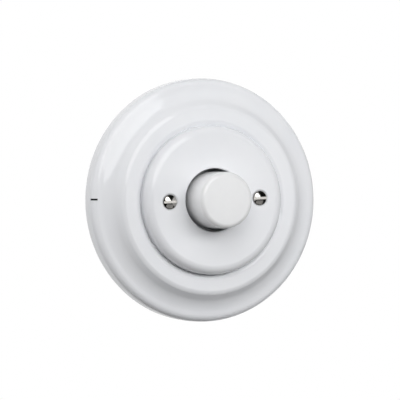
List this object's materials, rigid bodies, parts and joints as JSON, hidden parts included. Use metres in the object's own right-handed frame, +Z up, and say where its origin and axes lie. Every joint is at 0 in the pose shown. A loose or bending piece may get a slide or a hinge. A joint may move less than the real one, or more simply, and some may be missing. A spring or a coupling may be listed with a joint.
{
  "type": "porcelain rotary dimmer switch",
  "caption": "Round porcelain dimmer for a flush wall box: stepped rosette, screwed centre plate and a plain push-and-turn knob.",
  "frame": {"origin": "centre of the frame ring's back face, in the wall's plane, on the knob's axis", "axes": "+Y into the wall along the knob's axis, +Z up, +X to the right seen from the front; the knob faces -Y"},
  "size_m": [0.1, 0.0613, 0.1],
  "materials": {
    "porcelain": "white gloss glaze",
    "knob_white": "white moulded thermoset, soft gloss",
    "bright_nickel": "polished nickel plate",
    "zinc_steel": "bright zinc plate",
    "brass": "plain",
    "shaft_steel": "turned",
    "black_thermoset": "moulded, matt",
    "natural_nylon": "moulded",
    "pot_can": "pressed, tinned",
    "laminate": "phenolic laminate",
    "spring_steel": "drawn wire",
    "iron_powder": "yellow coated ring",
    "copper_wire": "enamelled copper",
    "capacitor_case": "moulded box",
    "resistor_body": "lacquered",
    "triac_body": "moulded, with a tinned tab",
    "mica": "thin sheet",
    "rivet_metal": "plain",
    "fuse_glass": "clear",
    "fuse_nickel": "nickel plate"
  },
  "bodies": {
    "base": {"frame_ring": "porcelain", "cover_plate": "porcelain", "cover_screws": "bright_nickel", "support_plate": "zinc_steel", "bushing_nut": "zinc_steel", "bushing_washer": "zinc_steel", "housing_screws": "zinc_steel", "terminal_screws": "zinc_steel", "cover_pillars": "brass", "terminal_blocks": "brass", "pot_tags": "brass", "fixed_contacts": "brass", "fuse_clips": "brass", "bushing": "brass", "housing_base": "black_thermoset", "switch_case": "black_thermoset", "switch_base": "black_thermoset", "pot_case": "pot_can", "circuit_board": "laminate", "track_disc": "laminate", "return_spring": "spring_steel", "choke_core": "iron_powder", "choke_winding": "copper_wire", "film_capacitor": "capacitor_case", "resistors": "resistor_body", "triac": "triac_body", "triac_pad": "mica", "triac_rivet": "rivet_metal", "fuse_tube": "fuse_glass", "fuse_caps": "fuse_nickel"},
    "push_slide": {"plunger": "natural_nylon", "moving_contact": "brass"},
    "knob": {"knob": "knob_white", "shaft": "shaft_steel"},
    "rotor": {"wiper_rotor": "natural_nylon", "wiper_contact": "brass"}
  },
  "joints": [
    {"name": "knob_push", "type": "slide", "parent": "base", "child": "push_slide", "axis": [0, 1, 0], "range_m": [0, 0.0018], "stiffness_N_per_m": 1500, "springref_m": -0.002, "deforming": ["return_spring"]},
    {"name": "knob_turn", "type": "hinge", "parent": "push_slide", "child": "knob", "pos_m": [0, 0, 0], "axis": [0, 1, 0], "range_deg": [0, 270]},
    {"name": "wiper_turn", "type": "hinge", "parent": "base", "child": "rotor", "pos_m": [0, 0, 0], "axis": [0, 1, 0], "range_deg": [0, 270]}
  ],
  "couplings": [
    {"joint": "wiper_turn", "follows": "knob_turn", "ratio": 1}
  ]
}
